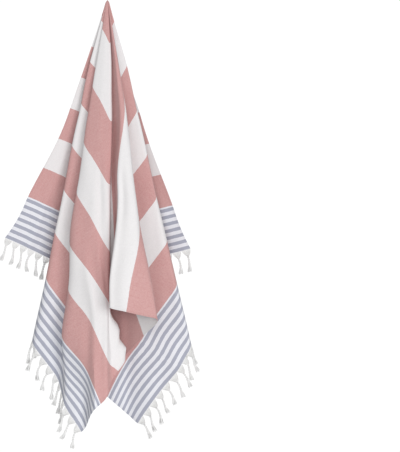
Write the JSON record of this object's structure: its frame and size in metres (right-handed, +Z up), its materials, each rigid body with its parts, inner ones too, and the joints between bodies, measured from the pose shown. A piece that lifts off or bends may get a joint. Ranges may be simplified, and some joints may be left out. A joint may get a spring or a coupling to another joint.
{
  "type": "hammam towel hung from one point",
  "caption": "Flat-woven striped cotton towel with a knotted fringe on both short ends, hung from the middle of one long edge in deep folds.",
  "frame": {"origin": "the hanging point, in the middle of the cloth's upper long edge, at the top of the gathered peak", "axes": "+Z up; +X to the right and +Y away from the viewer, with the front flap towards -Y"},
  "size_m": [0.5752, 0.4686, 1.2894],
  "materials": {
    "woven_cotton": "flat-woven cotton with rose, warm white and blue-grey stripes",
    "fringe_yarn": "twisted cotton warp yarn, undyed"
  },
  "bodies": {
    "root": {"towel_cloth": "woven_cotton", "fringe_left": "fringe_yarn", "fringe_right": "fringe_yarn"}
  },
  "joints": []
}
